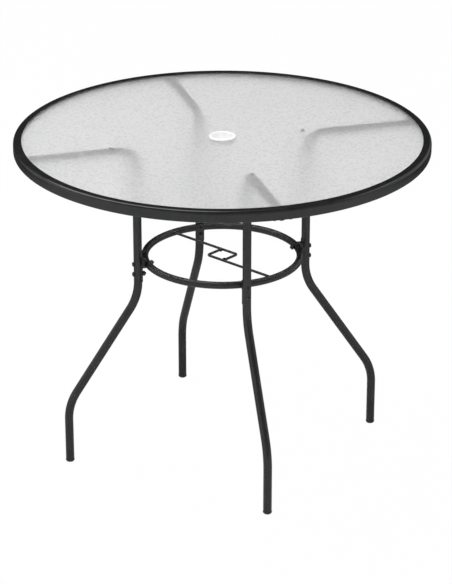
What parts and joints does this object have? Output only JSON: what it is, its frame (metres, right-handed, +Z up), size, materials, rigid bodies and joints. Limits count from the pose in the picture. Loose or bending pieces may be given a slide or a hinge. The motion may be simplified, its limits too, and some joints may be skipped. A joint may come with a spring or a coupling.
{
  "type": "umbrella table",
  "caption": "Round patio table: rippled glass in a rolled steel rim, bent tube legs bolted to a hoop, and a plastic-lined umbrella hole over a wire pole guide.",
  "frame": {"origin": "on the floor, on the umbrella pole's axis, midway between the four feet", "axes": "+Z up along the pole's axis, +X towards one leg and +Y towards the next"},
  "size_m": [0.914, 0.914, 0.749],
  "materials": {
    "black_coat": "satin black powder coat on steel",
    "frosted_glass": "tempered glass with a fine ripple on its underside",
    "white_plastic": "moulded white plastic",
    "black_rubber": "soft matt rubber",
    "black_plastic": "moulded black plastic",
    "black_fastener": "blackened steel"
  },
  "bodies": {
    "root": {"table_rim": "black_coat", "glass_edge_gasket": "black_rubber", "glass_top": "frosted_glass", "umbrella_hole_ring": "white_plastic", "umbrella_ring_collar": "white_plastic", "stretcher_ring": "black_coat", "pole_guide_wire_rear": "black_coat", "pole_guide_wire_front": "black_coat", "leg_right": "black_coat", "foot_cap_right": "black_plastic", "leg_plate_right": "black_coat", "ring_spacer_right": "black_plastic", "rim_bracket_right": "black_coat", "glass_pad_right": "black_rubber", "leg_back": "black_coat", "foot_cap_back": "black_plastic", "leg_plate_back": "black_coat", "ring_spacer_back": "black_plastic", "rim_bracket_back": "black_coat", "glass_pad_back": "black_rubber", "leg_left": "black_coat", "foot_cap_left": "black_plastic", "leg_plate_left": "black_coat", "ring_spacer_left": "black_plastic", "rim_bracket_left": "black_coat", "glass_pad_left": "black_rubber", "leg_front": "black_coat", "foot_cap_front": "black_plastic", "leg_plate_front": "black_coat", "ring_spacer_front": "black_plastic", "rim_bracket_front": "black_coat", "glass_pad_front": "black_rubber", "upper_ring_bolts": "black_fastener", "lower_plate_bolts": "black_fastener", "upper_ring_nuts": "black_fastener", "lower_plate_nuts": "black_fastener", "rim_bracket_screws": "black_fastener", "arm_screws": "black_fastener"}
  },
  "joints": []
}
